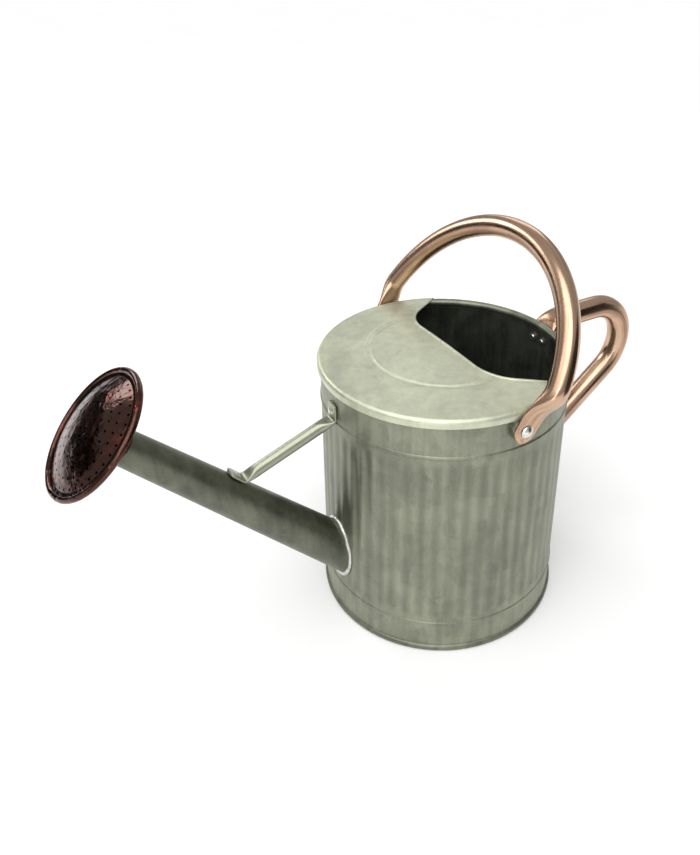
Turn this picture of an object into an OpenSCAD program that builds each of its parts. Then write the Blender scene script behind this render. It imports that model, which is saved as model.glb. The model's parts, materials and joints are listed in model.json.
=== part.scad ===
// Watering can: fluted sheet-metal body with a half cover over its mouth, a long
// braced spout that ends in a removable rose, a swinging carrying bail and a
// fixed rear handle.
// Origin: centre of the foot, at the level the can stands on. +Z up.
// The spout points along -X, the rear handle along +X and the bail turns about a
// line along Y. The bail is drawn leaning back, as it rests.

/* [Body] */
// Outer radius of the wall at the foot
wall_foot_r = 100.5; // [85:0.5:120]
// Outer radius of the wall at the top
wall_top_r = 93; // [80:0.5:110]
// Height of the can to the top of its rolled edge
body_h = 220; // [180:1:260]
// Thickness of the wall
wall_t = 1.2; // [0.8:0.1:1.5]
// Radius of the rolled top edge
edge_roll_r = 3; // [2.4:0.1:4]
// Thickness of the sheet rolled round the wire
edge_sheet_t = 1.1; // [0.8:0.1:1.3]
// How far the rolled edge stands out from the wall
edge_out = 1.9; // [1:0.1:2.4]

/* [Flutes] */
// Number of flutes round the wall
flute_count = 56; // [24:1:64]
// Height of the lower ends of the flutes
flute_low = 33; // [20:1:60]
// Distance from the upper ends of the flutes to the top
flute_top_margin = 34; // [28:1:50]
// Radius of the hollow that forms a flute
flute_hollow_r = 9; // [6:0.5:12]
// Depth of a flute
flute_depth = 0.55; // [0.2:0.05:0.6]
// Radius of the swaged ring above and below the flutes
swage_r = 1; // [0.6:0.1:1.2]
// Gap between a flute's end and the swaged ring
swage_gap = 3; // [3:0.5:6]

/* [Foot] */
// Radius of the hoop round the foot
hoop_r = 3.2; // [2.8:0.1:4]
// How far the hoop stands out from the wall
hoop_out = 1.9; // [1.2:0.1:2.4]
// How much of the hoop's round is flattened where the can stands
hoop_flat = 0.6; // [0.3:0.1:1]
// Height of the bottom above the ground
pan_h = 9; // [7:0.5:14]
// Thickness of the bottom
pan_t = 1; // [0.8:0.1:1.5]

/* [Hood] */
// Thickness of the hood
hood_t = 0.8; // [0.6:0.1:1.2]
// Rise of the hood from its edge to its middle
hood_rise = 4; // [2:0.5:10]
// How far behind the middle the straight edge of the hood lies
hood_edge_x = 1; // [-15:1:15]
// Half length of the hood's straight edge
hood_edge_half = 54; // [40:1:60]
// How far back the corners of the hood reach at the wall
hood_horn_x = 42; // [30:1:50]
// Radius of the ring pressed in the hood
groove_r = 57; // [45:1:65]
// Radius of the tool that presses the ring
groove_tool_r = 1.5; // [1:0.1:2]
// Depth of the pressed ring
groove_depth = 0.45; // [0.2:0.05:0.6]
// Height of the hood's turned-down edge
hood_skirt_h = 7; // [5:0.5:10]

/* [Spout] */
// Height of the spout's middle line at the wall
spout_z = 68; // [55:1:80]
// Rise of the spout above level, in degrees
spout_rise = 47.8; // [42:0.2:52]
// Length of the spout from the wall to its end
spout_len = 214; // [160:1:240]
// Outer radius of the spout at the wall
spout_root_r = 18; // [15:0.5:22]
// Outer radius of the spout at its end
spout_tip_r = 11.6; // [9:0.1:14]
// Thickness of the spout
spout_t = 0.9; // [0.7:0.1:1.2]
// Width of the ring round the foot of the spout
collar_w = 3; // [2:0.5:6]
// Thickness of that ring
collar_t = 1.4; // [1:0.1:2]

/* [Brace] */
// Distance of the brace's upper rivet below the top of the can
brace_below = 22; // [20:0.5:23]
// How far up the spout the brace's lower end sits
brace_along = 117; // [90:1:140]
// Radius of the brace tube
brace_r = 4.6; // [3.5:0.1:6]
// Thickness of the brace tube
brace_t = 0.8; // [0.6:0.1:1.2]
// Length of each flattened end
brace_foot_l = 14; // [12:1:18]
// Width of each flattened end
brace_foot_w = 12; // [10:0.5:14]
// Thickness of each flattened end
brace_foot_t = 2; // [1.6:0.1:2.6]
// Length over which the tube flattens
brace_blend = 11; // [8:1:16]

/* [Rose] */
// Radius of the rose
rose_r = 44; // [35:1:55]
// Length of the rose's socket
socket_len = 8; // [6:1:20]
// Thickness of the socket
socket_t = 1.2; // [0.8:0.1:2]
// Length of the rose's cone
rose_cone_len = 10; // [8:1:30]
// Thickness of the rose's sheet
rose_t = 0.9; // [0.7:0.1:1.2]
// Rise of the rose's domed face
rose_dome = 8; // [5:0.5:12]
// Radius of the ring round the face
rose_rim_r = 2.2; // [1.8:0.1:3]
// Radius of the holes in the face
jet_r = 0.8; // [0.5:0.1:1]
// Number of rings of holes
jet_rings = 6; // [3:1:7]
// Radius of the outermost ring of holes
jet_outer_r = 36; // [25:1:38]

/* [Bail] */
// Distance of the bail's pivot below the top of the can
pivot_below = 15; // [12:0.5:20]
// How far the middle of the bail's tube stands out from its flat ends
bail_out = 10.7; // [8:0.1:20]
// Height of the arch's centre above the pivot
bail_arch_up = 6; // [0:0.5:20]
// Lean of the bail at rest, back from upright, in degrees
bail_lean = 33; // [0:1:70]
// Radius of the bail's tube
bail_r = 8; // [6.5:0.1:9]
// Thickness of the bail's tube
bail_t = 1.1; // [0.8:0.1:1.5]
// Angle of the arch at which the tube starts to flatten, in degrees
bail_flat_from = 14; // [12:1:20]
// Radius of the flattened ends
bail_pad_r = 9.5; // [8:0.5:11]
// Thickness of the flattened ends
bail_pad_t = 3.2; // [2.4:0.1:4]
// Thickness of the spacer under each end
spacer_t = 2.4; // [1.8:0.1:3]
// Radius of the spacer under each end
spacer_r = 7; // [6:0.5:9]

/* [Rear handle] */
// Radius of the rear handle's tube
rear_r = 9.5; // [8:0.5:11]
// Thickness of the rear handle's tube
rear_t = 1.1; // [0.8:0.1:1.5]
// Radius of its bend, to the middle of the tube
rear_bend_r = 36; // [30:1:42]
// Distance of the bend's centre behind the wall's top
rear_reach = 57; // [45:1:65]
// Height of the upper run of the handle above the rim, to the middle of the tube
rear_over = -1; // [-2:0.5:4]
// Slope of the lower run, in degrees
rear_slope = 39.7; // [35:0.1:45]
// Length of each flattened end
rear_foot_l = 20; // [18:1:24]
// Width of each flattened end
rear_foot_w = 24; // [22:1:28]
// Thickness of each flattened end
rear_foot_t = 3; // [2.4:0.1:3.6]
// Length over which the tube flattens
rear_blend = 13; // [11:1:16]
// Distance between two rivets side by side
rivet_pitch = 11; // [9:0.5:13]

/* [Rivets] */
// Radius of the bail rivets
bail_rivet_r = 2.6; // [2:0.1:3]
// Radius of the heads of the bail rivets
bail_head_r = 4.8; // [4:0.1:6]
// Radius of the other rivets
rivet_r = 1.6; // [1.2:0.1:2]
// Radius of the heads of the other rivets
head_r = 3; // [2.4:0.1:3.4]
// Height of a rivet's head as a share of its radius
head_rise = 0.5; // [0.3:0.05:0.8]
// Thickness of the washers inside the wall
burr_t = 1; // [0.8:0.1:1.5]

/* [Fits] */
// Gap between pieces that are fixed together
fit_gap = 0.05; // [0.02:0.01:0.1]
// Radial clearance of a turning or sliding fit
run_gap = 0.06; // [0.03:0.01:0.1]
// Gap between pieces that move past each other
move_gap = 0.35; // [0.3:0.05:0.6]

/* [Hidden] */

$fn = 96;
cut = 1;
far = 400;
// How much a straight run of tube is drawn down, and how far it slips into a bend
draw_down = 0.12;
slip_l = 1.5;
plug_l = 0.4;
// How far inside a flat end the core of its hull starts and ends
core_from = 1;
core_to = 2;
// Share of a tube's wall that its plug overlaps
plug_share = 0.4;
// Half width of the bail's tongue and height of its root, as shares of the pad's radius
tongue_half = 0.8;
tongue_root = 0.6;
tongue_core = 0.5;
// Share of a swaged ring's radius that is sunk in the wall
swage_sunk = 0.4;
// Length and spread of a rivet's closed tail, as shares of its radius
tail_share = 0.6;
tail_neck = 1.15;
tail_spread = 1.5;
// Shares of a flat end that lie above its rivets' line or below the tube's end
foot_above = 0.3;
foot_below = 0.55;
// Room for the flat washers against the round inside of the wall
burr_gap = 0.5;
// How far the sides of the mouth run on, past the edge of the hood
mouth_past = 1.2;
// Share of the rose's socket that the cone's neck covers
neck_share = 0.4;
zinc = [0.60, 0.63, 0.58];
bright_zinc = [0.74, 0.76, 0.68];
copper = [0.72, 0.45, 0.32];
dark_copper = [0.33, 0.16, 0.12];
steel = [0.82, 0.82, 0.78];

// Wall: a straight taper from foot to top
taper = (wall_foot_r - wall_top_r) / body_h;
wall_lean = atan(taper);
function wall_r(z) = wall_foot_r - taper * z;
edge_z = body_h - edge_roll_r;
edge_r = wall_r(edge_z) + edge_out - edge_roll_r;
wire_r = edge_roll_r - edge_sheet_t - fit_gap;
flute_high = body_h - flute_top_margin;

// Foot
hoop_mid_r = wall_foot_r + hoop_out - hoop_r;
hoop_mid_z = hoop_r - hoop_flat;
// Height at which the wall starts inside the hoop
wall_start_z = 1.4;

// Hood
hood_lip_z = body_h + fit_gap + hood_t;
hood_skirt_r = edge_r - edge_roll_r - fit_gap;

// Spout: its own frame has +Z along the spout, from the wall outwards
spout_root_x = -wall_r(spout_z);
spout_taper = (spout_root_r - spout_tip_r) / spout_len;
function spout_r(s) = spout_root_r - spout_taper * s;
spout_tuck = 40;

// Rose
socket_start = spout_len - socket_len;
cone_start = spout_len + fit_gap * 2;
rose_plane = cone_start + rose_cone_len;
socket_out_r = spout_r(socket_start) + run_gap + socket_t;
face_r = rose_r - 2 * rose_rim_r;
flange_r = rose_r - 0.5 * rose_rim_r;
rose_dome_r = (face_r * face_r + rose_dome * rose_dome) / (2 * rose_dome);

// Bail
pivot_z = body_h - pivot_below;
pivot_wall_r = wall_r(pivot_z);
bail_pad_y = pivot_wall_r + spacer_t + fit_gap + move_gap;
bail_arch_r = bail_pad_y + bail_out;
bail_head_y = bail_pad_y + bail_pad_t + move_gap;

// Rear handle
rear_top_z = body_h + rear_over;
rear_bend = [wall_top_r + rear_reach, rear_top_z - rear_bend_r];
rear_leg_top = rear_bend + rear_bend_r * [sin(rear_slope), -cos(rear_slope)];
rear_leg_l = (rear_leg_top[0] - wall_foot_r - fit_gap - rear_foot_t / 2 + taper * rear_leg_top[1])
    / (cos(rear_slope) + taper * sin(rear_slope));
rear_leg_foot = rear_leg_top - rear_leg_l * [cos(rear_slope), sin(rear_slope)];
rear_upper_z = pivot_z;
rear_upper_top = rear_upper_z + rear_foot_l * foot_above;
rear_lower_z = rear_leg_foot[1] - rear_foot_l * foot_below;
rear_start_x = wall_top_r + rear_blend + 2;

// Brace, from the wall down to the top of the spout
brace_z = body_h - brace_below;
brace_foot_z = brace_z - brace_foot_l / 2;
brace_top = [-wall_r(brace_foot_z) - fit_gap - brace_foot_t / 2, brace_foot_z];
spout_dir = [-cos(spout_rise), sin(spout_rise)];
spout_up = [sin(spout_rise), cos(spout_rise)];
brace_low = [spout_root_x, spout_z] + brace_along * spout_dir
    + (spout_r(brace_along) + fit_gap + brace_foot_t / 2) * spout_up;
brace_line = brace_low - brace_top;
brace_l = norm(brace_line);
brace_drop = atan2(-brace_line[1], -brace_line[0]);
brace_rivet_s = brace_along + brace_foot_l / 2;
// Room that a rivet needs on a plate that isn't parallel to its head
lean_gap = head_r * taper;
brace_head_gap = spout_taper * brace_foot_l / 2 + 3 * fit_gap;

// Volume inside the wall's outer face, grown by a distance
module wall_volume(grow = 0) {
    translate([0, 0, -cut])
        cylinder(r1 = wall_r(-cut) + grow, r2 = wall_r(far) + grow, h = far + cut, $fn = 192);
}

// Volume inside the spout's outer face, grown by a distance, in the spout's frame
module spout_volume(grow = 0, from = -spout_tuck, to = spout_len) {
    translate([0, 0, from])
        cylinder(r1 = spout_r(from) + grow, r2 = spout_r(to) + grow, h = to - from);
}

// Places its children in the spout's frame
module on_spout() {
    translate([spout_root_x, 0, spout_z])
        rotate([0, spout_rise - 90, 0])
            children();
}

// Flat ring of a round tube, drawn round the origin
module tube_ring(r, t) {
    difference() {
        circle(r = r);
        circle(r = r - t);
    }
}

// Bent round tube in the XZ plane, between two angles
module bent_tube(bend_r, r, t, from, to) {
    rotate([90, 0, 0])
        rotate([0, 0, from])
            rotate_extrude(angle = to - from, $fn = 144)
                translate([bend_r, 0])
                    tube_ring(r, t);
}

// Straight round tube along +Z. It is drawn down a little, so that its ends
// slip into the walls of the bends that it meets
module straight_tube(r, t, h) {
    difference() {
        cylinder(r = r - draw_down, h = h);
        translate([0, 0, -cut])
            cylinder(r = r - t + draw_down, h = h + 2 * cut);
    }
}

// Plug that closes the end of a round tube where it goes flat, along +Z
module tube_plug(r, t) {
    cylinder(r = r - t * plug_share, h = plug_l, $fn = 32);
}

// Flat plate that lies on the wall on the +X side, between two heights. Shrunk
// all round, it is the core on which a flattening tube ends
module wall_plate(low, high, width, thickness, shrink = 0) {
    middle = (low + high) / 2;
    translate([wall_r(middle), 0, middle])
        rotate([0, -wall_lean, 0])
            translate([fit_gap + shrink, shrink - width / 2, (low - high) / 2])
                cube([thickness - 2 * shrink, width - 2 * shrink, high - low]);
}

// Rivet along +Z with its head above the face at height grip. Zero is the inner
// face of the wall, and the tail is closed under a washer
module rivet(r, head, grip, washer) {
    rise = head * head_rise;
    ball = (head * head + rise * rise) / (2 * rise);
    tail_h = r * tail_share;
    translate([0, 0, -washer - tail_h])
        cylinder(r = r, h = grip + washer + tail_h + cut / 2);
    translate([0, 0, -washer - tail_h])
        cylinder(r1 = r * tail_neck, r2 = r * tail_spread, h = tail_h - fit_gap);
    intersection() {
        translate([0, 0, grip + rise - ball])
            sphere(r = ball);
        translate([0, 0, grip])
            cylinder(r = head, h = rise + cut);
    }
}

// Places its children at a point of the wall, with +Z pointing out of it
module out_of_wall(z, turn, offset_r = 0) {
    rotate([0, 0, turn])
        translate([wall_r(z) + offset_r, 0, z])
            rotate([0, 90, 0])
                children();
}

// Flutes: long shallow hollows that end square, just short of the swaged rings
module flute_tools() {
    l = (flute_high - flute_low) / cos(wall_lean);
    for (i = [0 : flute_count - 1])
        rotate([0, 0, (i + 0.5) * 360 / flute_count])
            translate([wall_r(flute_low) + flute_hollow_r - flute_depth, 0, flute_low])
                rotate([0, -wall_lean, 0])
                    cylinder(r = flute_hollow_r, h = l, $fn = 64);
}

module swage(z) {
    rotate_extrude($fn = 192)
        translate([wall_r(z) - swage_r * swage_sunk, z])
            circle(r = swage_r, $fn = 32);
}

// Holes of the rivets that pass through the wall
module wall_holes() {
    for (side = [-1, 1])
        out_of_wall(pivot_z, side * 90, -cut - wall_t)
            cylinder(r = bail_rivet_r + fit_gap, h = wall_t + 2 * cut);
    for (z = [rear_upper_z, rear_lower_z])
        for (side = [-1, 1])
            translate([0, side * rivet_pitch / 2, 0])
                out_of_wall(z, 0, -2 * cut - wall_t)
                    cylinder(r = rivet_r + fit_gap, h = wall_t + 4 * cut);
    out_of_wall(brace_z, 180, -cut - wall_t)
        cylinder(r = rivet_r + fit_gap, h = wall_t + 2 * cut);
}

module body_shell() {
    color(zinc)
        difference() {
            union() {
                rotate_extrude($fn = 192) {
                    polygon([
                        [wall_r(wall_start_z) - wall_t, wall_start_z],
                        [wall_r(wall_start_z), wall_start_z],
                        [wall_r(edge_z), edge_z],
                        [wall_r(edge_z) - wall_t, edge_z]
                    ]);
                    translate([edge_r, edge_z])
                        circle(r = edge_roll_r, $fn = 48);
                }
                swage(flute_low - swage_gap);
                swage(flute_high + swage_gap);
            }
            rotate_extrude($fn = 192)
                translate([edge_r, edge_z])
                    circle(r = edge_roll_r - edge_sheet_t, $fn = 48);
            flute_tools();
            on_spout()
                spout_volume(fit_gap, -spout_tuck, spout_tuck);
            wall_holes();
        }
}

module rim_wire() {
    color(steel)
        rotate_extrude($fn = 192)
            translate([edge_r, edge_z])
                circle(r = wire_r, $fn = 48);
}

// Outline of the hood seen from above: the whole mouth less the opening behind
module hood_plan() {
    difference() {
        circle(r = wall_top_r + edge_roll_r, $fn = 192);
        mouth_plan();
    }
}

// Opening of the mouth: a straight front edge and slanting sides
module mouth_plan() {
    corner = [hood_edge_x, hood_edge_half];
    horn = [hood_horn_x, sqrt(edge_r * edge_r - hood_horn_x * hood_horn_x)];
    past = corner + mouth_past * (horn - corner);
    polygon([
        [corner[0], -corner[1]],
        corner,
        past,
        [far, past[1]],
        [far, -past[1]],
        [past[0], -past[1]]
    ]);
}

function hood_z(r) = hood_lip_z + hood_rise * (1 - pow(r / edge_r, 2));

module hood() {
    steps = 12;
    radii = [for (i = [0 : steps]) edge_r * i / steps];
    upper = [for (i = [0 : steps]) [radii[i], hood_z(radii[i])]];
    lower = [for (i = [steps : -1 : 0]) [radii[i], hood_z(radii[i]) - hood_t]];
    skirt_z = hood_lip_z - hood_skirt_h;
    color(bright_zinc)
        intersection() {
            difference() {
                union() {
                    rotate_extrude($fn = 192)
                        polygon(concat(upper, lower));
                    rotate_extrude($fn = 192)
                        translate([hood_skirt_r - hood_t, skirt_z])
                            square([hood_t, hood_z(hood_skirt_r) - hood_t / 2 - skirt_z]);
                }
                rotate_extrude($fn = 192)
                    translate([groove_r, hood_z(groove_r) + groove_tool_r - groove_depth])
                        circle(r = groove_tool_r, $fn = 32);
            }
            translate([0, 0, skirt_z - cut])
                linear_extrude(height = hood_skirt_h + hood_rise + 2 * cut)
                    hood_plan();
        }
}

module base_pan() {
    gap_r = wall_t + fit_gap;
    color(zinc)
        rotate_extrude($fn = 192)
            polygon([
                [0, pan_h - pan_t],
                [wall_r(pan_h) - gap_r - pan_t, pan_h - pan_t],
                [wall_r(wall_start_z) - gap_r - pan_t, wall_start_z],
                [wall_r(wall_start_z) - gap_r, wall_start_z],
                [wall_r(pan_h) - gap_r, pan_h],
                [0, pan_h]
            ]);
}

module base_hoop() {
    slot_in = wall_t + pan_t + 2 * fit_gap;
    slot_z = wall_start_z - fit_gap;
    color(zinc)
        rotate_extrude($fn = 192)
            difference() {
                intersection() {
                    translate([hoop_mid_r, hoop_mid_z])
                        circle(r = hoop_r, $fn = 64);
                    square([far, far]);
                }
                polygon([
                    [wall_r(slot_z) - slot_in, slot_z],
                    [wall_r(slot_z) + fit_gap, slot_z],
                    [wall_r(pan_h) + fit_gap, pan_h],
                    [wall_r(pan_h) - slot_in, pan_h]
                ]);
            }
}

module spout_tube() {
    color(zinc)
        difference() {
            on_spout()
                difference() {
                    spout_volume();
                    spout_volume(-spout_t, -spout_tuck - cut, spout_len + cut);
                    translate([0, 0, brace_rivet_s])
                        rotate([0, 90, 0])
                            cylinder(r = rivet_r + fit_gap, h = far);
                }
            wall_volume(-wall_t);
        }
}

module spout_collar() {
    color(bright_zinc)
        difference() {
            intersection() {
                on_spout()
                    spout_volume(collar_w, -spout_tuck / 2, spout_tuck);
                wall_volume(fit_gap + collar_t);
            }
            wall_volume(fit_gap);
            on_spout()
                spout_volume(fit_gap, -spout_tuck, spout_tuck + cut);
        }
}

// Runs along the brace's line, from its upper end, with +Z towards the spout
module along_brace(along) {
    translate([brace_top[0], 0, brace_top[1]])
        rotate([0, -90 - brace_drop, 0])
            translate([0, 0, along])
                children();
}

module brace_tube() {
    color(bright_zinc)
        difference() {
            union() {
                along_brace(brace_blend)
                    straight_tube(brace_r, brace_t, brace_l - 2 * brace_blend);
                hull() {
                    along_brace(brace_blend)
                        tube_plug(brace_r, brace_t);
                    rotate([0, 0, 180])
                        wall_plate(brace_foot_z + core_from, brace_foot_z + core_to, brace_foot_w, brace_foot_t, draw_down);
                }
                hull() {
                    along_brace(brace_l - brace_blend - plug_l)
                        tube_plug(brace_r, brace_t);
                    on_spout()
                        spout_plate(brace_along + core_from, brace_along + core_to, draw_down);
                }
                rotate([0, 0, 180])
                    wall_plate(brace_foot_z, brace_foot_z + brace_foot_l, brace_foot_w, brace_foot_t);
                on_spout()
                    spout_plate(brace_along, brace_along + brace_foot_l);
            }
            out_of_wall(brace_z, 180, -cut)
                cylinder(r = rivet_r + fit_gap, h = brace_foot_t + 3 * cut);
            on_spout()
                translate([0, 0, brace_rivet_s])
                    rotate([0, 90, 0])
                        cylinder(r = rivet_r + fit_gap, h = far);
        }
}

// Flat plate that lies along the top of the spout, in the spout's frame
module spout_plate(from, to, shrink = 0) {
    translate([spout_r(brace_along) + fit_gap + shrink, shrink - brace_foot_w / 2, from])
        cube([brace_foot_t - 2 * shrink, brace_foot_w - 2 * shrink, to - from]);
}

module brace_wall_rivet() {
    color(steel)
        out_of_wall(brace_z, 180, -wall_t)
            rivet(rivet_r, head_r, wall_t + brace_foot_t + 3 * fit_gap + lean_gap, fit_gap + lean_gap);
}

module brace_spout_rivet() {
    color(steel)
        on_spout()
            translate([spout_r(brace_rivet_s) - spout_t, 0, brace_rivet_s])
                rotate([0, 90, 0])
                    rivet(rivet_r, head_r, spout_t + brace_foot_t + brace_head_gap, 2 * fit_gap);
}

// Socket with a tapered bore and a lip that stops on the spout's end
module rose_collar() {
    lip_z = spout_len + fit_gap;
    color(dark_copper)
        on_spout()
            rotate_extrude()
                polygon([
                    [spout_r(socket_start) + run_gap, socket_start],
                    [socket_out_r, socket_start],
                    [socket_out_r, lip_z + socket_t],
                    [spout_tip_r - spout_t, lip_z + socket_t],
                    [spout_tip_r - spout_t, lip_z],
                    [spout_r(lip_z) + run_gap, lip_z]
                ]);
}

module rose_back() {
    neck_r = socket_out_r + fit_gap;
    neck_z = cone_start - socket_len * neck_share;
    color(dark_copper)
        on_spout()
            rotate_extrude()
                polygon([
                    [neck_r, neck_z],
                    [neck_r + rose_t, neck_z],
                    [neck_r + rose_t, cone_start],
                    [face_r, rose_plane - 1.5 * rose_t],
                    [face_r, rose_plane - rose_t],
                    [flange_r, rose_plane - rose_t],
                    [flange_r, rose_plane],
                    [face_r - rose_t, rose_plane],
                    [face_r - rose_t, rose_plane - rose_t],
                    [neck_r, cone_start + rose_t]
                ]);
}

module rose_face() {
    flat_z = rose_plane + fit_gap;
    color(dark_copper)
        on_spout()
            difference() {
                rotate_extrude() {
                    intersection() {
                        translate([0, flat_z + rose_dome - rose_dome_r])
                            difference() {
                                circle(r = rose_dome_r, $fn = 360);
                                circle(r = rose_dome_r - rose_t, $fn = 360);
                            }
                        translate([0, flat_z])
                            square([face_r, 2 * rose_dome]);
                    }
                    translate([face_r - 2 * rose_t, flat_z])
                        square([flange_r - face_r + 2 * rose_t, rose_t]);
                }
                jets();
            }
}

module jets() {
    for (ring = [1 : jet_rings])
        for (i = [0 : 6 * ring - 1])
            rotate([0, 0, i * 60 / ring])
                translate([jet_outer_r * ring / jet_rings, 0, rose_plane])
                    cylinder(r = jet_r, h = 2 * rose_dome, $fn = 24);
    translate([0, 0, rose_plane])
        cylinder(r = jet_r, h = 2 * rose_dome, $fn = 24);
}

module rose_rim() {
    slot_z = rose_t + 2 * fit_gap;
    color(dark_copper)
        on_spout()
            rotate_extrude()
                translate([rose_r - rose_rim_r, rose_plane])
                    difference() {
                        circle(r = rose_rim_r, $fn = 48);
                        translate([-2 * rose_rim_r, -slot_z])
                            square([rose_rim_r + flange_r - rose_r + 2 * rose_rim_r + fit_gap, 2 * slot_z]);
                    }
}

// Places its children in the bail's frame: pivot at zero, arch upwards
module on_bail() {
    translate([0, 0, pivot_z])
        rotate([0, bail_lean, 0])
            children();
}

// Disc at the end of the bail's round tube
module bail_tube_end() {
    translate([0, 0, bail_arch_up])
        rotate([90, 0, 90])
            rotate([0, 0, bail_flat_from])
                translate([bail_arch_r, 0, 0])
                    rotate([-90, 0, 0])
                        tube_plug(bail_r, bail_t);
}

module bail_end() {
    hull() {
        bail_tube_end();
        translate([-bail_pad_r * tongue_half, bail_pad_y, bail_pad_r * tongue_root])
            cube([2 * bail_pad_r * tongue_half, bail_pad_t, tongue_core]);
    }
    difference() {
        union() {
            translate([0, bail_pad_y + bail_pad_t, 0])
                rotate([90, 0, 0])
                    cylinder(r = bail_pad_r, h = bail_pad_t);
            translate([-bail_pad_r * tongue_half, bail_pad_y, 0])
                cube([2 * bail_pad_r * tongue_half, bail_pad_t, bail_pad_r * tongue_root + tongue_core / 2]);
        }
        translate([0, bail_pad_y + bail_pad_t + cut, 0])
            rotate([90, 0, 0])
                cylinder(r = bail_rivet_r + run_gap, h = bail_pad_t + 2 * cut);
    }
}

module bail_handle() {
    color(copper)
        on_bail() {
            rotate([0, 0, 90])
                translate([0, 0, bail_arch_up])
                    bent_tube(bail_arch_r, bail_r, bail_t, bail_flat_from, 180 - bail_flat_from);
            bail_end();
            mirror([0, 1, 0])
                bail_end();
        }
}

module bail_rivet(turn) {
    color(steel)
        out_of_wall(pivot_z, turn, -wall_t)
            rivet(bail_rivet_r, bail_head_r, bail_head_y - pivot_wall_r + wall_t, burr_t + 2 * fit_gap);
}

module bail_rivet_right() {
    bail_rivet(-90);
}

module bail_rivet_left() {
    bail_rivet(90);
}

module bail_washers() {
    color(steel)
        for (side = [-1, 1])
            difference() {
                out_of_wall(pivot_z, side * 90, -cut)
                    difference() {
                        cylinder(r = spacer_r, h = cut + spacer_t + fit_gap);
                        translate([0, 0, -cut])
                            cylinder(r = bail_rivet_r + fit_gap, h = 3 * cut + spacer_t);
                    }
                wall_volume(fit_gap);
            }
}

// Washer inside the wall, round a rivet
module burr(r) {
    translate([0, 0, -burr_t])
        difference() {
            cylinder(r = r * 2, h = burr_t + cut);
            translate([0, 0, -cut])
                cylinder(r = r + fit_gap, h = burr_t + 3 * cut);
        }
}

module bail_burrs() {
    color(steel)
        intersection() {
            wall_volume(-wall_t - fit_gap);
            for (side = [-1, 1])
                out_of_wall(pivot_z, side * 90, -wall_t - fit_gap)
                    burr(bail_rivet_r);
        }
}

module rear_handle() {
    color(copper)
        difference() {
            union() {
                translate([rear_start_x, 0, rear_top_z])
                    rotate([0, 90, 0])
                        straight_tube(rear_r, rear_t, rear_bend[0] - rear_start_x + slip_l);
                translate([rear_bend[0], 0, rear_bend[1]])
                    bent_tube(rear_bend_r, rear_r, rear_t, rear_slope - 90, 90);
                along_leg(-slip_l)
                    straight_tube(rear_r, rear_t, rear_leg_l - rear_blend + slip_l);
                hull() {
                    translate([rear_start_x, 0, rear_top_z])
                        rotate([0, 90, 0])
                            tube_plug(rear_r, rear_t);
                    wall_plate(rear_upper_top - core_to, rear_upper_top - core_from, rear_foot_w, rear_foot_t, draw_down);
                }
                hull() {
                    along_leg(rear_leg_l - rear_blend - plug_l)
                        tube_plug(rear_r, rear_t);
                    wall_plate(rear_leg_foot[1] - core_to, rear_leg_foot[1] - core_from, rear_foot_w, rear_foot_t, draw_down);
                }
                wall_plate(rear_upper_top - rear_foot_l * (1 - foot_above), rear_upper_top, rear_foot_w, rear_foot_t);
                wall_plate(rear_leg_foot[1] - rear_foot_l, rear_leg_foot[1], rear_foot_w, rear_foot_t);
            }
            for (z = [rear_upper_z, rear_lower_z])
                for (side = [-1, 1])
                    translate([0, side * rivet_pitch / 2, 0])
                        out_of_wall(z, 0, -2 * cut)
                            cylinder(r = rivet_r + fit_gap, h = rear_foot_t + 4 * cut);
        }
}

// Runs down the rear handle's lower leg, with +Z towards the wall
module along_leg(along) {
    translate([rear_leg_top[0], 0, rear_leg_top[1]])
        rotate([0, -90 - rear_slope, 0])
            translate([0, 0, along])
                children();
}

// Two rivets side by side. The wall curves away to each side of the middle
module rear_rivets(z) {
    color(steel)
        for (side = [-1, 1])
            translate([0, side * rivet_pitch / 2, 0])
                out_of_wall(z, 0, -wall_t)
                    rivet(rivet_r, head_r, wall_t + rear_foot_t + 3 * fit_gap, burr_t + burr_gap);
}

module rear_upper_rivets() {
    rear_rivets(rear_upper_z);
}

module rear_lower_rivets() {
    rear_rivets(rear_lower_z);
}

module rear_burrs() {
    color(steel)
        intersection() {
            wall_volume(-wall_t - fit_gap);
            for (z = [rear_upper_z, rear_lower_z])
                for (side = [-1, 1])
                    translate([0, side * rivet_pitch / 2, 0])
                        out_of_wall(z, 0, -wall_t - burr_gap / 2)
                            burr(rivet_r);
        }
}

body_shell();
rim_wire();
hood();
base_pan();
base_hoop();
spout_tube();
spout_collar();
brace_tube();
brace_wall_rivet();
brace_spout_rivet();
rose_collar();
rose_back();
rose_face();
rose_rim();
bail_handle();
bail_rivet_right();
bail_rivet_left();
bail_washers();
bail_burrs();
rear_handle();
rear_upper_rivets();
rear_lower_rivets();
rear_burrs();
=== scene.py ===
"""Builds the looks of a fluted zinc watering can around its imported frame.

Lengths are in metres. The can stands on the ground at the origin, its spout
points along -X, its rear handle along +X and its bail turns about a line along Y.
"""

import json
import math

import bmesh
import bpy
from mathutils import Matrix, Vector


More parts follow.
